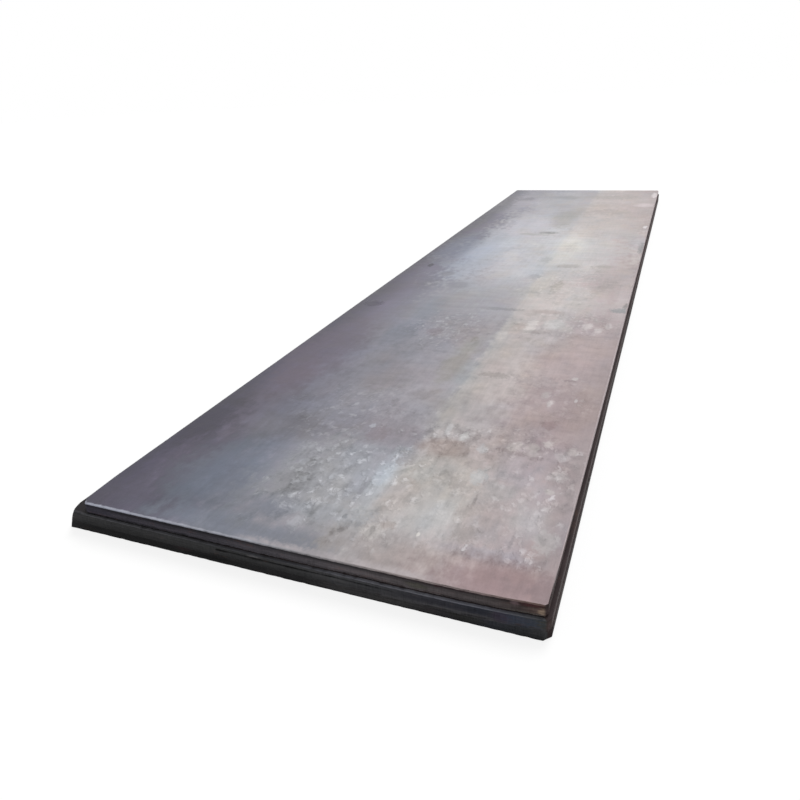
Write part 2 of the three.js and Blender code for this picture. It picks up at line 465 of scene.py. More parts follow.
class Graph:
    """The nodes of one steel material. Each argument is a socket or a plain value."""

    def __init__(self, name):
        self.material = bpy.data.materials.new(name)
        self.material.use_nodes = True
        self.tree = self.material.node_tree
        self.tree.nodes.clear()
        self.place = self.node("ShaderNodeTexCoord").outputs["Object"]
        self.x, self.y = self.node("ShaderNodeSeparateXYZ", {0: self.place}).outputs[:2]
        self.u = self.math("SUBTRACT", self.x, TOP_LO.x)
        self.v = self.math("SUBTRACT", self.y, TOP_LO.y)
        self.flat = self.node("ShaderNodeCombineXYZ", {0: self.u, 1: self.v}).outputs[0]
        self.inset, self.drop, self.loss, self.end = (
            self.node("ShaderNodeAttribute", attribute_name=label).outputs["Fac"]
            for label in ("edge_inset", "edge_drop", "edge_loss", "end_face")
        )
        self.upright = self.node("ShaderNodeCombineXYZ", {0: self.u, 1: self.drop}).outputs[0]

    def node(self, kind, values=None, **settings):
        made = self.tree.nodes.new(kind)
        for name, value in settings.items():
            setattr(made, name, value)
        for key, value in (values or {}).items():
            if isinstance(value, bpy.types.NodeSocket):
                self.tree.links.new(value, made.inputs[key])
            else:
                made.inputs[key].default_value = value
        return made

    def math(self, operation, a, b=0.0, c=0.0):
        return self.node("ShaderNodeMath", {0: a, 1: b, 2: c}, operation=operation).outputs[0]

    def times(self, *values):
        total = values[0]
        for value in values[1:]:
            total = self.math("MULTIPLY", total, value)
        return total

    def plus(self, *values):
        total = values[0]
        for value in values[1:]:
            total = self.math("ADD", total, value)
        return total

    def fade(self, value, start, stop, low=0.0, high=1.0):
        """Goes softly from low at start to high at stop, which may be the smaller."""
        return self.node(
            "ShaderNodeMapRange",
            {0: value, 1: start, 2: stop, 3: low, 4: high},
            interpolation_type="SMOOTHSTEP",
        ).outputs[0]

    def line(self, value, start, stop, low=0.0, high=1.0):
        return self.node(
            "ShaderNodeMapRange", {0: value, 1: start, 2: stop, 3: low, 4: high}
        ).outputs[0]

    def swing(self, noise_value, amount):
        """Noise as a number about zero, mostly within plus and minus an amount."""
        return self.line(noise_value, 0.25, 0.75, -amount, amount)

    def mix(self, share, a, b, blend="MIX"):
        return self.node(
            "ShaderNodeMix", {0: share, 6: a, 7: b}, data_type="RGBA", blend_type=blend
        ).outputs[2]

    def blend(self, share, a, b):
        """The same between two numbers."""
        return self.node("ShaderNodeMix", {0: share, 2: a, 3: b}).outputs[0]

    def shade(self, colour, factor):
        """A colour made lighter or darker by a factor near 1."""
        grey = self.node("ShaderNodeCombineXYZ", {0: factor, 1: factor, 2: factor}).outputs[0]
        return self.node(
            "ShaderNodeVectorMath", {0: colour, 1: grey}, operation="MULTIPLY"
        ).outputs[0]

    def spread(self, size, seed):
        """The object's place in units of a size in metres, moved by a seed."""
        scale = tuple(1.0 / s for s in size)
        shift = (seed * 1.3, seed * 2.1, seed * 0.7)
        return self.node(
            "ShaderNodeVectorMath", {0: self.place, 1: scale, 2: shift}, operation="MULTIPLY_ADD"
        ).outputs[0]

    def cloud(self, size, seed, detail=2.0, rough=0.5, twist=0.0):
        """Noise from 0 to 1, with blobs of about the size given."""
        return self.node(
            "ShaderNodeTexNoise",
            {
                "Vector": self.spread(size, seed),
                "Scale": 1.0,
                "Detail": detail,
                "Roughness": rough,
                "Distortion": twist,
            },
        ).outputs[0]

    def crust(self, size, seed, share, soft=0.1):
        """Torn islands of about a size in metres, from 0 between them to 1 on their tops."""
        torn = self.cloud((size, size * 1.6, size), seed, detail=3.0, rough=0.58, twist=0.25)
        level = 0.5 + (0.5 - share) * 0.36
        return self.fade(torn, level - soft, level + soft)

    def pebbles(self, size, seed, twist):
        """Rounded crumbs of about a size in metres: their height, and a number for each."""
        bend = self.node("ShaderNodeTexNoise", {
            "Vector": self.spread((size, size * 1.4, size), seed + 5), "Scale": 1.2}).outputs[1]
        bend = self.node("ShaderNodeVectorMath", {
            0: bend, 1: (twist,) * 3, 2: self.spread((size, size * 1.4, size), seed),
        }, operation="MULTIPLY_ADD").outputs[0]
        cells = self.node("ShaderNodeTexVoronoi", {"Vector": bend, "Scale": 1.0})
        number = self.node("ShaderNodeSeparateColor", {0: cells.outputs["Color"]}).outputs[0]
        return self.fade(cells.outputs["Distance"], 0.65, 0.15), number

    def ramp(self, value, start, stop, stops):
        """A colour along a value: stops are (value, colour)."""
        made = self.node("ShaderNodeValToRGB", {0: self.line(value, start, stop)})
        elements = made.color_ramp.elements
        for number, (at, colour) in enumerate(stops):
            element = elements[number] if number < 2 else elements.new(1.0)
            element.position = (at - start) / (stop - start)
            element.color = colour
        return made.outputs[0]

    def spot(self, plane, u, v, half_u, half_v, ragged, strength=1.0, soft=0.45):
        """A soft oval, 0 outside it, with a ragged rim, on a plane of two coordinates."""
        scale = (1.0 / half_u, 1.0 / half_v, 1.0)
        shift = (-u / half_u, -v / half_v, 0.0)
        place = self.node(
            "ShaderNodeVectorMath", {0: plane, 1: scale, 2: shift}, operation="MULTIPLY_ADD"
        ).outputs[0]
        away = self.node("ShaderNodeVectorMath", {0: place}, operation="LENGTH").outputs[1]
        away = self.math("ADD", away, ragged)
        return self.fade(away, 1.0 + soft, 1.0 - soft, 0.0, strength)

    def finish(self, colour, roughness, height, specular):
        bump = self.node("ShaderNodeBump", {"Distance": 1.0, "Strength": 1.0, "Height": height})
        shader = self.node(
            "ShaderNodeBsdfPrincipled",
            {
                "Base Color": colour,
                "Roughness": roughness,
                "Specular IOR Level": specular,
                "Normal": bump.outputs[0],
            },
        )
        self.node("ShaderNodeOutputMaterial", {0: shader.outputs[0]})
        return self.material


RAMP_MM = 40  # the millimetres that a ramp writes as 1


def grey_stops(stops, full=1.0):
    """Numbers along a value, as the colours that a ramp takes; full is written as 1."""
    return [(at, (number / full,) * 3 + (1.0,)) for at, number in stops]


# The upper face of the top plate: its tones from the left edge to the right one. Their rise from
# dark on the left to pale on the right is in part the scale's own tone and in part painted sheen,
# the reflection of the bright sky. The scale changes from cool grey to warm pink at one straight
# line along the plate. Most tones from here to FACE_MARKS, and some places, follow values that
# were measured on the photo.
HUE_LINE = 1.128  # u
FACE_TONES_AND_SHEEN = (
    (0.0, tone(48, 45, 60)),
    (0.08, tone(62, 57, 75)),
    (0.22, tone(94, 88, 105)),
    (0.375, tone(108, 106, 119)),
    (0.52, tone(125, 123, 133)),
    (0.7, tone(135, 132, 139)),
    (0.9, tone(151, 146, 152)),
    (HUE_LINE - 0.03, tone(157, 153, 158)),
    (HUE_LINE + 0.004, tone(175, 173, 174)),
    (1.22, tone(178, 171, 170)),
    (1.4, tone(186, 177, 177)),
    (1.6, tone(170, 157, 160)),
    (1.8, tone(154, 141, 143)),
)

# Broad areas of it: u, v, half width, half length, tone (0 to 255), strength. The pale areas far
# along the plate are in part the scale's own tone and in part painted sheen, the glancing
# reflection far off.
FACE_AREAS = (
    (1.05, 4.6, 0.62, 1.35, (196, 195, 197), 0.85),  # palest stretch
    (0.62, 5.4, 0.24, 1.5, (189, 186, 193), 0.75),  # lavender beside it
    (0.48, 4.3, 0.2, 0.75, (160, 166, 180), 0.7),  # bluish rim of it
    (0.62, 4.78, 0.09, 0.24, (192, 195, 201), 0.55),
    (0.2, 4.5, 0.14, 0.7, (96, 101, 118), 0.7),  # slate by the left edge
    (1.2, 4.6, 0.13, 0.5, (216, 214, 208), 0.8),  # cream
    (0.3, 7.2, 0.4, 0.95, (152, 148, 157), 0.8),  # far left
    (0.04, 6.8, 0.14, 1.5, (58, 56, 66), 0.75),
    (0.75, 7.0, 0.3, 0.8, (176, 174, 176), 0.6),
    (1.4, 5.9, 0.42, 0.7, (187, 178, 175), 0.7),  # warm far stretch
    (1.45, 7.1, 0.45, 0.8, (178, 168, 167), 0.7),
    (0.95, 6.05, 0.12, 0.45, (157, 152, 146), 0.75),  # olive grey
    (1.38, 6.45, 0.36, 0.16, (154, 145, 143), 0.65),
    (1.35, 3.1, 0.3, 0.4, (194, 190, 188), 0.6),
    (1.66, 3.6, 0.14, 0.55, (178, 168, 168), 0.7),
    (0.72, 3.1, 0.28, 0.45, (159, 157, 163), 0.5),
    (0.18, 1.75, 0.2, 0.45, (88, 76, 93), 0.55),  # reddish purple
    (0.22, 1.35, 0.12, 0.16, (86, 72, 86), 0.4),
    (0.07, 0.75, 0.13, 0.22, (40, 35, 54), 0.75),  # near-black margin
    (0.2, 0.1, 0.26, 0.16, (68, 64, 78), 0.6),
    (0.28, 0.48, 0.12, 0.28, (54, 50, 64), 0.6),
    (0.37, 0.11, 0.12, 0.12, (62, 58, 70), 0.6),
    (0.45, 0.4, 0.2, 0.28, (101, 107, 120), 0.85),  # slate blue
    (0.75, 0.06, 0.4, 0.07, (114, 119, 131), 0.8),
    (0.48, 0.82, 0.17, 0.12, (104, 101, 109), 0.6),
    (0.88, 0.9, 0.26, 0.17, (131, 125, 131), 0.7),  # dull
    (0.54, 2.12, 0.12, 0.18, (101, 105, 116), 0.6),
    (0.53, 2.65, 0.09, 0.28, (118, 123, 134), 0.6),
    (1.0, 1.8, 0.06, 0.34, (151, 148, 141), 0.65),  # olive grey
    (1.09, 1.65, 0.05, 0.22, (160, 164, 167), 0.6),
    (1.14, 1.2, 0.06, 0.26, (156, 152, 152), 0.55),
    (1.58, 1.25, 0.22, 0.35, (164, 146, 149), 0.55),  # dusty pink
    (1.62, 1.9, 0.22, 0.35, (174, 157, 158), 0.6),
    (0.88, 0.45, 0.27, 0.29, (170, 170, 174), 0.8),  # flaked, grey
    (0.71, 0.42, 0.09, 0.17, (130, 129, 130), 0.6),
    (0.73, 0.2, 0.1, 0.09, (112, 116, 127), 0.75),
    (1.13, 0.28, 0.13, 0.22, (184, 179, 177), 0.7),
    (1.08, 0.54, 0.055, 0.17, (190, 195, 200), 0.9),  # flaked, bluish white
    (1.3, 0.45, 0.22, 0.29, (184, 181, 179), 0.85),  # flaked, cream
    (1.63, 0.48, 0.17, 0.26, (172, 166, 172), 0.8),  # flaked, pink
    (1.36, 0.35, 0.07, 0.13, (186, 186, 187), 0.85),  # white
    (1.67, 0.42, 0.08, 0.1, (183, 182, 187), 0.7),
    (1.59, 0.185, 0.17, 0.034, (172, 168, 177), 0.75),  # flaked, bluish white
    (1.28, 0.1, 0.22, 0.1, (161, 152, 151), 0.7),
    (1.4, 0.86, 0.16, 0.13, (170, 158, 157), 0.4),
    (1.78, 0.55, 0.07, 0.5, (154, 145, 147), 0.65),  # along the right edge
    (1.77, 3.2, 0.06, 0.55, (192, 184, 186), 0.5),
    (1.77, 4.9, 0.06, 0.6, (200, 192, 194), 0.5),
    (1.65, 0.05, 0.24, 0.12, (144, 122, 125), 0.85),  # bare pink strip
)

# Patches of another hue all over it: size, seed, hue laid over the tone, strength.
HUE_PATCHES = (
    (0.28, 51.0, tone(255, 248, 232), 0.35),  # cream
    (0.22, 57.0, tone(255, 241, 240), 0.3),  # rose
    (0.32, 63.0, tone(232, 243, 255), 0.35),  # slate
)

# Marks on it, in the same terms.
FACE_MARKS = (
    (0.475, 0.88, 0.05, 0.05, (84, 82, 94), 0.3),
    (0.9, 0.86, 0.04, 0.05, (124, 110, 116), 0.4),
    (1.22, 0.84, 0.1, 0.07, (154, 137, 131), 0.65),
    (1.2, 0.6, 0.034, 0.045, (194, 191, 189), 0.75),
    (1.52, 0.57, 0.055, 0.06, (182, 178, 178), 0.5),
    (1.71, 0.74, 0.022, 0.03, (188, 180, 180), 0.6),
    (1.47, 0.28, 0.03, 0.04, (154, 145, 142), 0.5),
    (1.77, 0.05, 0.03, 0.05, (132, 114, 117), 0.6),
    (1.475, 0.885, 0.03, 0.01, (128, 112, 112), 0.55),
    (1.54, 0.872, 0.026, 0.014, (122, 105, 106), 0.4),
    (1.61, 0.85, 0.022, 0.012, (116, 99, 101), 0.35),
    (1.5, 0.925, 0.022, 0.03, (194, 185, 183), 0.75),
    (1.575, 0.93, 0.018, 0.028, (193, 184, 182), 0.65),
    (1.63, 0.985, 0.016, 0.024, (196, 187, 186), 0.75),
    (1.735, 0.94, 0.014, 0.022, (194, 185, 184), 0.65),
    (1.275, 0.945, 0.014, 0.03, (198, 196, 196), 0.85),
    (1.375, 0.865, 0.016, 0.024, (190, 188, 190), 0.7),
    (0.85, 0.935, 0.01, 0.014, (178, 180, 190), 0.6),
    (1.57, 1.385, 0.01, 0.026, (198, 190, 190), 0.8),
    (1.535, 1.47, 0.014, 0.03, (190, 182, 182), 0.6),
    (1.6, 1.16, 0.022, 0.03, (146, 122, 124), 0.6),
    (0.86, 1.19, 0.016, 0.034, (120, 116, 122), 0.6),
    (1.24, 1.65, 0.06, 0.025, (148, 140, 137), 0.65),
    (1.02, 0.43, 0.008, 0.07, (128, 127, 134), 0.45),  # a dark valley: its shade is painted in
    (1.035, 0.24, 0.007, 0.01, (104, 104, 110), 0.6),
    (0.97, 0.29, 0.01, 0.03, (190, 191, 196), 0.6),
    (0.87, 0.17, 0.018, 0.026, (176, 177, 184), 0.6),
    (0.97, 0.245, 0.11, 0.04, (174, 178, 186), 0.4),
    (0.93, 0.48, 0.014, 0.022, (184, 184, 190), 0.6),
    (0.7, 0.55, 0.014, 0.022, (166, 168, 176), 0.6),
    (0.74, 0.46, 0.024, 0.012, (112, 112, 114), 0.6),
    (1.32, 0.22, 0.005, 0.009, (220, 216, 212), 0.8),
    (1.2, 0.235, 0.022, 0.02, (150, 138, 133), 0.5),
    (0.95, 1.32, 0.055, 0.06, (120, 115, 118), 0.6),
    (1.29, 2.21, 0.05, 0.05, (152, 143, 140), 0.5),
    (1.16, 0.19, 0.03, 0.03, (196, 191, 189), 0.75),
    (1.585, 0.885, 0.02, 0.02, (188, 180, 180), 0.5),
    (1.7, 0.89, 0.022, 0.026, (188, 180, 182), 0.6),
    (1.735, 0.32, 0.03, 0.045, (186, 182, 182), 0.55),
    (0.78, 0.26, 0.035, 0.035, (152, 153, 161), 0.5),
    (1.1, 0.7, 0.03, 0.045, (136, 128, 128), 0.5),
    (1.39, 0.73, 0.03, 0.03, (152, 142, 140), 0.45),
    (1.38, 0.56, 0.03, 0.035, (152, 144, 141), 0.45),
    (1.27, 0.39, 0.035, 0.05, (190, 186, 184), 0.45),
    (1.38, 1.47, 0.045, 0.06, (190, 182, 180), 0.45),
    (1.37, 1.21, 0.05, 0.05, (186, 178, 176), 0.4),
    (1.48, 2.46, 0.03, 0.05, (202, 195, 193), 0.6),
    (1.23, 2.69, 0.05, 0.05, (150, 141, 138), 0.4),
    (0.38, 3.58, 0.05, 0.07, (84, 80, 92), 0.5),
    (1.19, 1.0, 0.01, 0.034, (200, 198, 200), 0.7),
    (1.45, 0.63, 0.005, 0.03, (148, 142, 144), 0.6),
    (1.42, 0.64, 0.022, 0.04, (186, 188, 190), 0.6),
    (1.45, 0.48, 0.004, 0.04, (140, 132, 130), 0.5),
    (1.44, 0.41, 0.026, 0.03, (162, 151, 148), 0.45),
    (1.7, 0.62, 0.016, 0.012, (190, 184, 182), 0.6),
    (1.63, 0.28, 0.005, 0.03, (144, 136, 140), 0.6),
    (1.27, 2.46, 0.024, 0.09, (206, 200, 198), 0.75),
    (1.4, 2.53, 0.06, 0.09, (200, 198, 198), 0.75),
    (1.6, 2.53, 0.024, 0.05, (202, 194, 194), 0.75),
    (1.67, 2.47, 0.018, 0.04, (198, 190, 190), 0.7),
    (1.72, 2.56, 0.013, 0.04, (198, 190, 190), 0.6),
    (1.33, 2.36, 0.06, 0.02, (150, 142, 141), 0.45),
    (1.14, 2.24, 0.02, 0.05, (196, 190, 188), 0.7),
    (1.43, 2.24, 0.026, 0.05, (194, 186, 188), 0.65),
    (1.64, 1.7, 0.011, 0.017, (198, 190, 190), 0.75),
    (1.62, 1.67, 0.03, 0.01, (136, 122, 124), 0.6),
    (1.68, 1.44, 0.006, 0.013, (206, 198, 200), 0.8),
    (1.46, 1.62, 0.08, 0.045, (158, 146, 148), 0.55),
    (0.11, 2.7, 0.05, 0.045, (40, 32, 56), 0.8),
    (0.72, 2.22, 0.035, 0.05, (114, 104, 112), 0.6),
    (1.01, 2.76, 0.09, 0.022, (122, 122, 126), 0.6),
    (1.3, 2.76, 0.11, 0.05, (160, 145, 142), 0.6),
    (1.76, 2.88, 0.045, 0.035, (122, 127, 130), 0.7),
    (0.56, 3.27, 0.07, 0.08, (118, 118, 129), 0.6),
    (1.07, 3.62, 0.035, 0.05, (136, 134, 142), 0.5),
    (1.28, 3.38, 0.03, 0.1, (166, 158, 150), 0.6),
    (0.162, 3.82, 0.017, 0.04, (22, 17, 40), 0.9),
    (1.28, 3.98, 0.1, 0.06, (160, 155, 152), 0.65),
    (1.56, 4.0, 0.08, 0.06, (152, 145, 140), 0.65),
    (1.62, 3.48, 0.07, 0.13, (162, 151, 150), 0.6),
    (0.89, 5.25, 0.09, 0.055, (116, 116, 116), 0.85),
    (1.06, 4.15, 0.035, 0.07, (150, 150, 152), 0.45),
    (0.78, 5.16, 0.14, 0.05, (156, 156, 154), 0.6),
    (0.31, 7.27, 0.09, 0.12, (108, 106, 116), 0.8),
    (0.72, 7.4, 0.18, 0.13, (128, 128, 135), 0.7),
    (1.25, 7.42, 0.4, 0.13, (150, 145, 142), 0.6),
    (1.7, 6.88, 0.1, 0.12, (200, 186, 188), 0.8),
    (1.765, 5.62, 0.014, 0.05, (220, 214, 216), 0.8),
    (1.77, 7.6, 0.022, 0.13, (226, 216, 218), 0.85),
    (1.785, 4.7, 0.02, 0.14, (110, 112, 113), 0.7),
    (1.79, 3.0, 0.014, 0.04, (80, 82, 82), 0.6),
)

# Where loose scale stands up on it: u, v, half width, half length, strength.
FLAKED = (
    (0.88, 0.45, 0.25, 0.3, 1.0),
    (1.08, 0.56, 0.08, 0.2, 1.0),
    (1.18, 0.47, 0.08, 0.34, 0.9),
    (1.36, 0.45, 0.24, 0.3, 0.45),
    (1.6, 0.5, 0.16, 0.32, 0.5),
    (1.72, 0.6, 0.06, 0.34, 0.9),
    (1.62, 0.2, 0.18, 0.06, 0.9),
    (1.45, 2.52, 0.32, 0.3, 0.55),
    (1.44, 0.93, 0.36, 0.13, 0.9),
    (1.55, 1.45, 0.24, 0.26, 0.3),
    (0.8, 2.3, 0.24, 0.34, 0.45),
    (0.7, 1.05, 0.26, 0.3, 0.35),
    (1.35, 3.4, 0.32, 0.45, 0.45),
)
SMALL_MARK = 0.05  # a mark with a half width under this is torn rather than soft
STANDING_MARK = 0.62  # a small mark stronger than this stands up too; too many blacken the face


def arris_tone_and_highlight(graph, look, fine, blot):
    """The upper arris of a cut end: how far a point is on it, and its tone. On the top and middle
    plates that tone is a painted highlight, the light the rounded arris catches; on the bottom
    plate it is dark.
    """
    wide, deep = look["arris_reach"]
    run = graph.times(graph.line(fine, 0.3, 0.7, 0.75, 1.25), MM)
    reach = graph.times(
        graph.ramp(graph.u, 0.0, FACE_WIDTH, grey_stops(wide, RAMP_MM)), RAMP_MM, run)
    depth = graph.times(
        graph.ramp(graph.u, 0.0, FACE_WIDTH, grey_stops(deep, RAMP_MM)), RAMP_MM, run)
    share = graph.times(
        graph.fade(graph.math("DIVIDE", graph.inset, reach), 1.25, 0.6),
        graph.fade(graph.math("DIVIDE", graph.drop, depth), 1.25, 0.75),
        graph.fade(graph.end, 0.3, 0.7),
    )
    ends = graph.fade(graph.y, 0.5, -0.5)
    colour = graph.mix(ends, tone(58, 56, 58), graph.ramp(graph.u, 0.0, FACE_WIDTH, look["arris"]))
    colour = graph.shade(colour, graph.line(fine, 0.25, 0.75, 0.78, 1.22))
    whole = graph.fade(graph.plus(fine, graph.times(blot, 0.5)), 0.5, 0.7, 0.6, 1.0)
    return graph.times(share, whole), colour


def pale_face(graph):
    """The upper face of the top plate: colour, roughness and height."""
    broad = graph.cloud((0.2, 0.3, 0.2), 2.0, detail=3.0)
    fine = graph.cloud((0.042, 0.075, 0.05), 5.0, detail=3.0, rough=0.62)
    torn = graph.cloud((0.014, 0.02, 0.014), 7.0, detail=3.0, rough=0.6)
    soft_rim = graph.plus(graph.line(broad, 0.0, 1.0, -0.65, 0.65),
                          graph.line(fine, 0.0, 1.0, -0.75, 0.75))
    torn_rim = graph.plus(graph.line(torn, 0.0, 1.0, -1.0, 1.0),
                          graph.line(fine, 0.0, 1.0, -0.7, 0.7))
    # the straight line between the hues leans a little, and is frayed
    across = graph.plus(
        graph.u,
        graph.line(graph.v, 0.0, FACE_LENGTH, 0.0, 0.035),
        graph.line(fine, 0.0, 1.0, -0.045, 0.045),
        graph.line(broad, 0.0, 1.0, -0.02, 0.02),
    )
    colour = graph.ramp(across, 0.0, FACE_WIDTH, FACE_TONES_AND_SHEEN)
    for u, v, half_u, half_v, patch, strength in FACE_AREAS:
        share = graph.spot(graph.flat, u, v, half_u, half_v, soft_rim, strength, 0.55)
        colour = graph.mix(share, colour, tone(*patch))
    # the hues on either side of the line stay apart inside the pale areas too
    warm = graph.fade(across, HUE_LINE - 0.03, HUE_LINE + 0.015)
    colour = graph.mix(warm, graph.mix(0.25, colour, tone(236, 244, 255), "MULTIPLY"),
                       graph.mix(0.25, colour, tone(255, 246, 242), "MULTIPLY"))

    # patches of cream, rose and slate within them
    for size, seed, hue, strength in HUE_PATCHES:
        patches = graph.cloud((size, size * 1.7, size), seed, detail=3.0, rough=0.6)
        share = graph.fade(patches, 0.46, 0.66, 0.0, strength)
        colour = graph.mix(share, colour, hue, "MULTIPLY")

    flaked = 0.0
    for u, v, half_u, half_v, strength in FLAKED:
        share = graph.spot(graph.flat, u, v, half_u, half_v, soft_rim, strength, 0.4)
        flaked = graph.math("MAXIMUM", flaked, share)
    flakes = graph.cloud((0.09, 0.14, 0.09), 11.0, detail=2.0, rough=0.55)
    rounded, number = graph.pebbles(0.031, 23.0, 1.7)
    present = graph.fade(graph.plus(number, graph.line(flakes, 0, 1, -0.9, 0.9)), 0.26, 0.56)
    crust = graph.times(rounded, present)
    pits = graph.crust(0.08, 37.0, 0.3)
    sheets = graph.crust(0.11, 31.0, 0.45, soft=0.06)
    # painted highlight: the tops of some crumbs are made near-white, as glints
    crumb_glint = graph.times(crust, graph.fade(number, 0.75, 1.0))
    scrap_tone = graph.mix(warm, tone(196, 200, 208), tone(208, 202, 198))
    colour = graph.mix(graph.times(flaked, crust, 0.18), colour, scrap_tone)
    # the pits between the crumbs are darker: dull scale and painted shade
    dull = graph.times(flaked, pits, graph.math("SUBTRACT", 1.0, crust),
                       graph.line(warm, 0.0, 1.0, 0.12, 0.06))
    colour = graph.mix(dull, colour, graph.mix(warm, tone(96, 97, 104), tone(132, 118, 113)))
    colour = graph.mix(graph.times(flaked, crumb_glint, 0.35), colour, tone(216, 217, 222))

    marks = 0.0
    for u, v, half_u, half_v, patch, strength in FACE_MARKS:
        small = min(half_u, half_v) < SMALL_MARK
        grown = 1.35 if small else 1.0
        share = graph.spot(graph.flat, u, v, half_u * grown, half_v * grown,
                           torn_rim if small else soft_rim, strength, 0.4 if small else 0.5)
        colour = graph.mix(share, colour, tone(*patch))
        if small and strength > STANDING_MARK:
            marks = graph.math("MAXIMUM", marks, share)

    mottle = graph.cloud((0.42, 0.6, 0.4), 9.0, detail=2.0)
    chatter = graph.cloud((0.26, 0.055, 1.0), 71.0, detail=2.0, rough=0.6)
    smear = graph.cloud((0.02, 0.3, 0.02), 13.0, detail=3.0, rough=0.6)
    rolled = graph.cloud((0.008, 2.4, 1.0), 14.0, detail=2.0)
    grain = graph.cloud((0.007, 0.009, 0.007), 19.0, detail=2.0)
    light = graph.plus(
        graph.swing(mottle, 0.12),
        graph.swing(broad, 0.13),
        graph.swing(fine, 0.12),
        graph.swing(chatter, 0.07),
        graph.swing(smear, 0.04),
        graph.swing(rolled, 0.03),
        graph.swing(torn, 0.04),
        graph.swing(grain, 0.03),
        # crumb tops lighter and pits darker: in part the scale's tone and in part painted light
        # and shade
        graph.times(flaked, graph.line(crust, 0.0, 1.0, -0.05, 0.09)),
        graph.times(flaked, rounded, graph.line(number, 0.0, 1.0, -0.07, 0.07)),
        graph.times(flaked, graph.line(pits, 0.0, 1.0, 0.02, -0.07)),
        graph.times(flaked, graph.line(sheets, 0.0, 1.0, -0.05, 0.06)),
        graph.times(flaked, graph.fade(fine, 0.46, 0.34, 0.0, -0.1)),
        1.0,
    )
    colour = graph.shade(colour, light)

    # a dusty pale strip along the front border, then the arris with its painted highlight, strong
    # on the left and chipped on the right
    blot = graph.cloud((0.11, 0.3, 0.03), SEEDS["top_plate"] + 6, detail=3.0)
    border = graph.times(
        graph.fade(graph.plus(graph.v, graph.line(torn, 0, 1, -0.03, 0.03)), 0.045, 0.015),
        graph.fade(graph.u, 0.66, 0.86),
        graph.fade(graph.u, 1.5, 1.34),
        graph.line(fine, 0.3, 0.7, 0.25, 0.75),
    )
    colour = graph.mix(border, colour, tone(178, 170, 173))
    # the arris tone here is a painted highlight, the light the rounded arris catches
    on_arris, arris_tone = arris_tone_and_highlight(graph, EDGE_LOOKS["top_plate"], fine, blot)
    colour = graph.mix(on_arris, colour, arris_tone)

    rough = graph.plus(0.4, graph.swing(broad, 0.03),
                       graph.swing(fine, 0.05), graph.times(flaked, 0.08))
    raised = graph.math("MAXIMUM", graph.times(flaked, crust), graph.times(marks, 0.6))
    height = graph.plus(
        graph.times(fine, 0.8 * MM),
        graph.times(torn, 0.25 * MM),
        graph.times(grain, 0.05 * MM),
        graph.times(chatter, 0.25 * MM),
        graph.times(flaked, fine, 2.5 * MM),
        graph.times(flaked, torn, 0.3 * MM),
        graph.times(raised, 3.2 * MM),
        graph.times(flaked, pits, -2.0 * MM),
        graph.times(flaked, sheets, 2.0 * MM),
    )
    return colour, rough, height


LEFT_SHADE = tone(205, 226, 230)  # painted shade: the left side, turned away from the sun, is made darker and cooler; laid over the dark tones


# painted shade, darker and cooler towards the left side
def painted_left_shade(graph, colour):
    return graph.mix(graph.fade(graph.x, 0.0, -0.5), colour, LEFT_SHADE, "MULTIPLY")


def dark_face(graph, seed):
    """The upper and lower faces of the plates below, and the underside."""
    broad = graph.cloud((0.3, 0.45, 0.3), seed, detail=3.0)
    fine = graph.cloud((0.05, 0.07, 0.05), seed + 3, detail=4.0, rough=0.6)
    grain = graph.cloud((0.006, 0.008, 0.006), seed + 6)
    colour = graph.mix(graph.fade(broad, 0.35, 0.65), tone(60, 51, 52), tone(73, 63, 63))
    colour = graph.mix(graph.fade(fine, 0.56, 0.72, 0.0, 0.4), colour, tone(78, 61, 53))
    # painted shade on the left side
    colour = painted_left_shade(graph, colour)
    light = graph.plus(graph.line(fine, 0.25, 0.75, 0.84, 1.16),
                       graph.swing(grain, 0.08))
    colour = graph.shade(colour, light)
    rough = graph.line(fine, 0.2, 0.8, 0.45, 0.65)
    height = graph.plus(graph.times(fine, 0.35 * MM), graph.times(grain, 0.12 * MM))
    return colour, rough, height
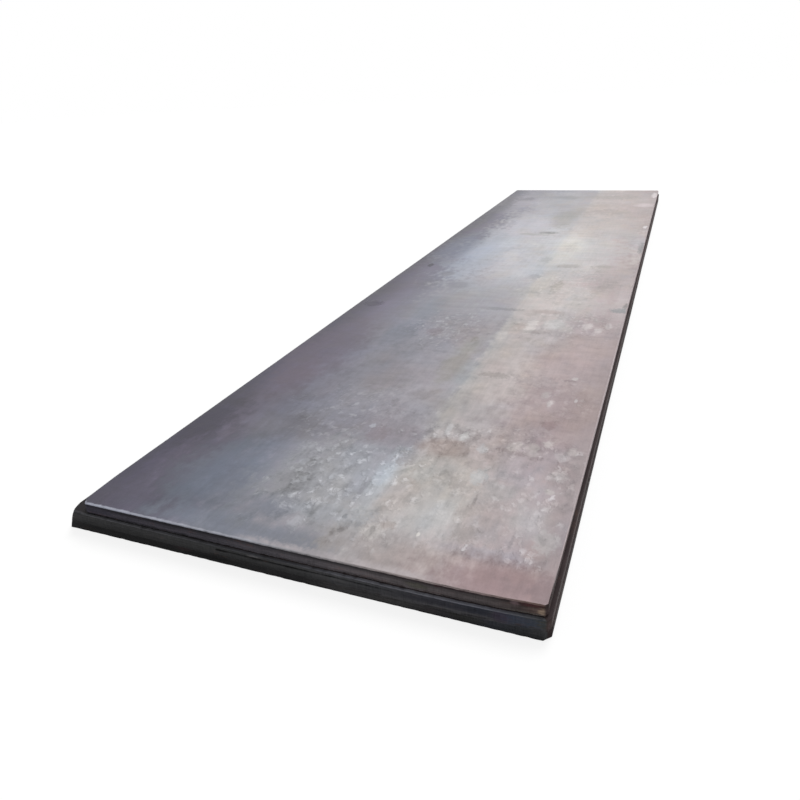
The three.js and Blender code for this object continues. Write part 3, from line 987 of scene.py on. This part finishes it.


# How each plate's edge looks. Everything but the profiles runs from left to right (u). A profile
# is half the brightness down the face, from the upper face (0) to the lower (1), and is in part
# painted light and shade: the top plate's lower end is painted bright against the shade of the
# joint below it, and the lower plates darken down their faces. The arris reach is how many
# millimetres of the face, and of the end, its tone covers. On the top and middle plates the arris
# tone is a painted highlight, the light the rounded arris catches. Tones and profiles were chosen
# beside profiles measured on the photo.
EDGE_LOOKS = {
    "top_plate": {
        "front": ((0.0, tone(65, 63, 72)), (0.62, tone(69, 67, 73)), (0.9, tone(83, 80, 85)),
                  (1.3, tone(91, 86, 88)), (1.6, tone(87, 81, 82)), (1.72, tone(73, 65, 64)),
                  (1.8, tone(96, 80, 74))),
        "profile": ((0.0, 0.19), (0.12, 0.16), (0.25, 0.23), (0.45, 0.5), (0.7, 0.53),
                    (0.88, 0.5), (1.0, 1.0)),
        "arris": ((0.0, tone(152, 155, 169)), (0.7, tone(150, 152, 162)),
                  (0.9, tone(146, 145, 150)), (1.3, tone(150, 141, 141)),
                  (1.6, tone(138, 122, 122)), (1.8, tone(104, 84, 78))),
        "arris_reach": (((0.0, 13), (0.5, 12), (0.9, 8), (1.2, 5), (1.8, 4)),
                        ((0.0, 2.2), (0.6, 2.2), (1.0, 4.5), (1.55, 5.0), (1.8, 4.5))),
        "side": (tone(60, 49, 49), tone(72, 60, 60)),
        "rust": 0.3,
    },
    "middle_plate": {
        "front": ((0.0, tone(56, 56, 57)), (0.9, tone(61, 61, 62)), (1.14, tone(70, 70, 72)),
                  (1.38, tone(58, 58, 62)), (1.6, tone(48, 50, 58)), (1.8, tone(61, 63, 62))),
        "profile": ((0.0, 0.5), (0.4, 0.5), (0.7, 0.4), (0.88, 0.3), (1.0, 0.18)),
        "arris": ((0.0, tone(58, 58, 61)), (0.03, tone(90, 90, 94)), (0.9, tone(74, 74, 78)),
                  (1.15, tone(106, 106, 113)), (1.4, tone(116, 116, 124)),
                  (1.62, tone(110, 111, 121)), (1.8, tone(86, 87, 90))),
        "arris_reach": (((0.0, 11), (1.8, 12)), ((0.0, 2.5), (1.8, 2.5))),
        "side": (tone(62, 51, 51), tone(76, 63, 62)),
        "rust": 0.15,
    },
    "bottom_plate": {
        "front": ((0.0, tone(36, 36, 37)), (0.62, tone(36, 36, 37)), (0.7, tone(45, 45, 46)),
                  (1.4, tone(51, 49, 52)), (1.62, tone(56, 58, 64)), (1.8, tone(60, 61, 62))),
        "profile": ((0.0, 0.5), (0.6, 0.5), (1.0, 0.35)),
        "arris": ((0.0, tone(30, 30, 31)), (0.9, tone(38, 37, 39)), (1.8, tone(50, 50, 53))),
        "arris_reach": (((0.0, 4), (1.8, 4)), ((0.0, 2.0), (1.8, 2.0))),
        "side": (tone(45, 37, 37), tone(58, 48, 48)),
        "rust": 0.12,
    },
}
# Marks on the front ends: u, drop and halves of each (mm for the drops), tone, strength. Two along
# the top plate's lower edge are painted light and shade at the joint below it.
END_MARKS = {
    "top_plate": (
        (1.48, 6, 0.22, 5, (58, 44, 48), 0.5),
        (1.46, 7, 0.012, 6, (52, 24, 30), 0.6),
        (1.395, 26, 0.03, 10, (86, 86, 74), 0.5),
        (1.745, 7, 0.04, 8, (74, 46, 48), 0.8),
        (1.7, 11, 0.014, 9, (112, 94, 98), 0.55),
        (1.786, 27, 0.016, 13, (150, 132, 116), 0.8),
        (0.06, 22, 0.1, 22, (54, 52, 62), 0.6),
        # painted shade in the joint below the top plate
        (0.25, 42, 0.34, 6, (42, 41, 45), 0.75),
        # painted light against the shade of that joint
        (1.74, 44, 0.11, 6, (122, 116, 113), 0.7),
    ),
    "middle_plate": (
        (0.795, 8, 0.02, 5, (100, 98, 100), 0.75),
        (1.45, 20, 0.1, 18, (56, 55, 62), 0.5),
        (1.5, 41, 0.32, 13, (78, 77, 80), 0.8),
        (1.665, 20, 0.03, 22, (62, 54, 68), 0.6),
        (1.725, 20, 0.05, 24, (56, 63, 78), 0.6),
    ),
    "bottom_plate": (
        (0.48, 14, 0.035, 12, (58, 48, 50), 0.5),
        (1.22, 24, 0.2, 22, (72, 71, 72), 0.8),
        (1.55, 20, 0.06, 20, (66, 64, 58), 0.4),
    ),
}
# A pale tone runs over the top plate's right arris and down its side, to a drop (mm) at each v.
PALE_SIDE = tone(183, 170, 172)
PALE_SIDE_DEPTH = ((0.0, 0), (0.15, 0), (0.45, 11), (0.9, 20), (2.0, 30), (4.0, 28), (8.0, 22))


def edge(graph, node):
    """The rim of a plate: colour, roughness and height."""
    look, seed = EDGE_LOOKS[node], SEEDS[node]
    fine = graph.cloud((0.03, 0.05, 0.006), seed, detail=3.0, rough=0.6)
    streak = graph.cloud((0.35, 0.9, 0.0045), seed + 2, detail=3.0, rough=0.6)
    drag = graph.cloud((0.0035, 1.0, 0.03), seed + 4, detail=2.0)
    blot = graph.cloud((0.11, 0.3, 0.03), seed + 6, detail=3.0)
    level = graph.math("DIVIDE", graph.drop, THICKNESS)
    # the profile: brightness down the face, in part painted light and shade
    profile = graph.ramp(level, 0.0, 1.0, grey_stops(look["profile"]))
    profile = graph.shade(profile, 2.0)

    front = graph.ramp(graph.u, 0.0, FACE_WIDTH, look["front"])
    front = graph.mix(1.0, front, profile, "MULTIPLY")
    ragged = graph.line(fine, 0.0, 1.0, -1.1, 1.1)
    at_front = graph.fade(graph.y, 0.0, -1.0)
    for u, drop, half_u, half_drop, patch, strength in END_MARKS[node]:
        share = graph.spot(graph.upright, u, drop * MM, half_u, half_drop * MM, ragged, strength)
        front = graph.mix(graph.times(share, at_front), front, tone(*patch))
    side = graph.mix(graph.fade(blot, 0.4, 0.62), *look["side"])
    side = graph.shade(side, graph.ramp(level, 0.0, 1.0, grey_stops(
        ((0.0, 0.5), (0.2, 0.8), (0.5, 1.0), (0.8, 0.75), (1.0, 0.3)))))
    # painted sheen: the right side grows lighter towards the far end, where it is seen at a
    # glancing angle
    painted_sheen = graph.times(graph.fade(graph.x, 0.0, 0.5), graph.line(graph.v, 2.8, 5.0, 0.0, 0.6))
    # painted shade on the left side, as in dark_face
    side = painted_left_shade(graph, graph.shade(side, graph.plus(painted_sheen, 1.0)))
    if node == "top_plate":
        depth = graph.ramp(graph.v, 0.0, FACE_LENGTH, grey_stops(PALE_SIDE_DEPTH, RAMP_MM))
        depth = graph.times(depth, RAMP_MM * MM, graph.line(fine, 0.3, 0.7, 0.85, 1.15))
        pale = graph.fade(graph.math("SUBTRACT", depth, graph.drop), -7 * MM, 7 * MM)
        pale = graph.times(pale, graph.fade(graph.v, 0.05, 0.15), graph.fade(graph.x, 0.0, 0.5))
        side = graph.mix(pale, side, PALE_SIDE)
    cut = graph.fade(graph.end, 0.3, 0.7)
    colour = graph.mix(cut, side, front)
    light = graph.plus(
        graph.swing(fine, 0.22),
        graph.swing(streak, 0.3),
        graph.times(cut, graph.swing(drag, 0.18)),
        graph.times(cut, graph.line(blot, 0.3, 0.7, -0.16, 0.16)),
        # painted shade: dark patches along the lower part of each cut end, above the joint or
        # floor below it
        graph.times(cut, graph.fade(level, 0.72, 0.92), graph.fade(blot, 0.5, 0.6), -0.5),
        graph.line(graph.loss, 0.6 * MM, 3.4 * MM, 0.06, -0.8),
        1.0,
    )
    colour = graph.shade(colour, light)
    rust = graph.fade(graph.plus(fine, graph.times(blot, 0.8)), 0.98, 1.22, 0.0, look["rust"])
    colour = graph.mix(rust, colour, tone(92, 56, 40))
    # on the top and middle plates the arris tone is a painted highlight
    on_arris, arris_tone = arris_tone_and_highlight(graph, look, fine, blot)
    colour = graph.mix(on_arris, colour, arris_tone)
    rough = graph.line(fine, 0.2, 0.8, 0.45, 0.65)
    height = graph.plus(
        graph.times(fine, 0.5 * MM),
        graph.times(streak, 0.35 * MM),
        graph.times(cut, drag, 0.35 * MM),
    )
    return colour, rough, height


def pale_material():
    """The upper face of the top plate."""
    graph = Graph("pale_face")
    return graph.finish(*pale_face(graph), 0.3)


def dark_material(node):
    """A plate's edge all round, and every face that isn't the stack's upper one."""
    graph = Graph(node + "_dark")
    seed = SEEDS[node]
    face = dark_face(graph, seed + 50)
    rim = edge(graph, node)
    # on the rim: anywhere down the side, and the last millimetres of a face, though the
    # rounded arris of a lower plate still looks like its face
    down = graph.fade(graph.inset, 7 * MM, 3 * MM)
    if node != "top_plate":
        down = graph.times(down, graph.fade(graph.drop, 0.4 * MM, 2.2 * MM))
    near = graph.times(graph.fade(graph.inset, 15 * MM, 9 * MM), graph.fade(graph.end, 0.3, 0.7))
    on_rim = graph.math("MAXIMUM", down, near)
    return graph.finish(
        graph.mix(on_rim, face[0], rim[0]),
        graph.blend(on_rim, face[1], rim[1]),
        graph.blend(on_rim, face[2], rim[2]),
        0.03,
    )


make_camera()
make_world()
make_sun()
make_floor()
for node, slot in (("bottom_plate", "dark_mill_scale"), ("middle_plate", "dark_mill_scale")):
    dark = dark_material(node)
    make_plate(node, dark, dark)
make_plate("top_plate", pale_material(), dark_material("top_plate"))

bpy.context.scene.view_settings.view_transform = "Standard"
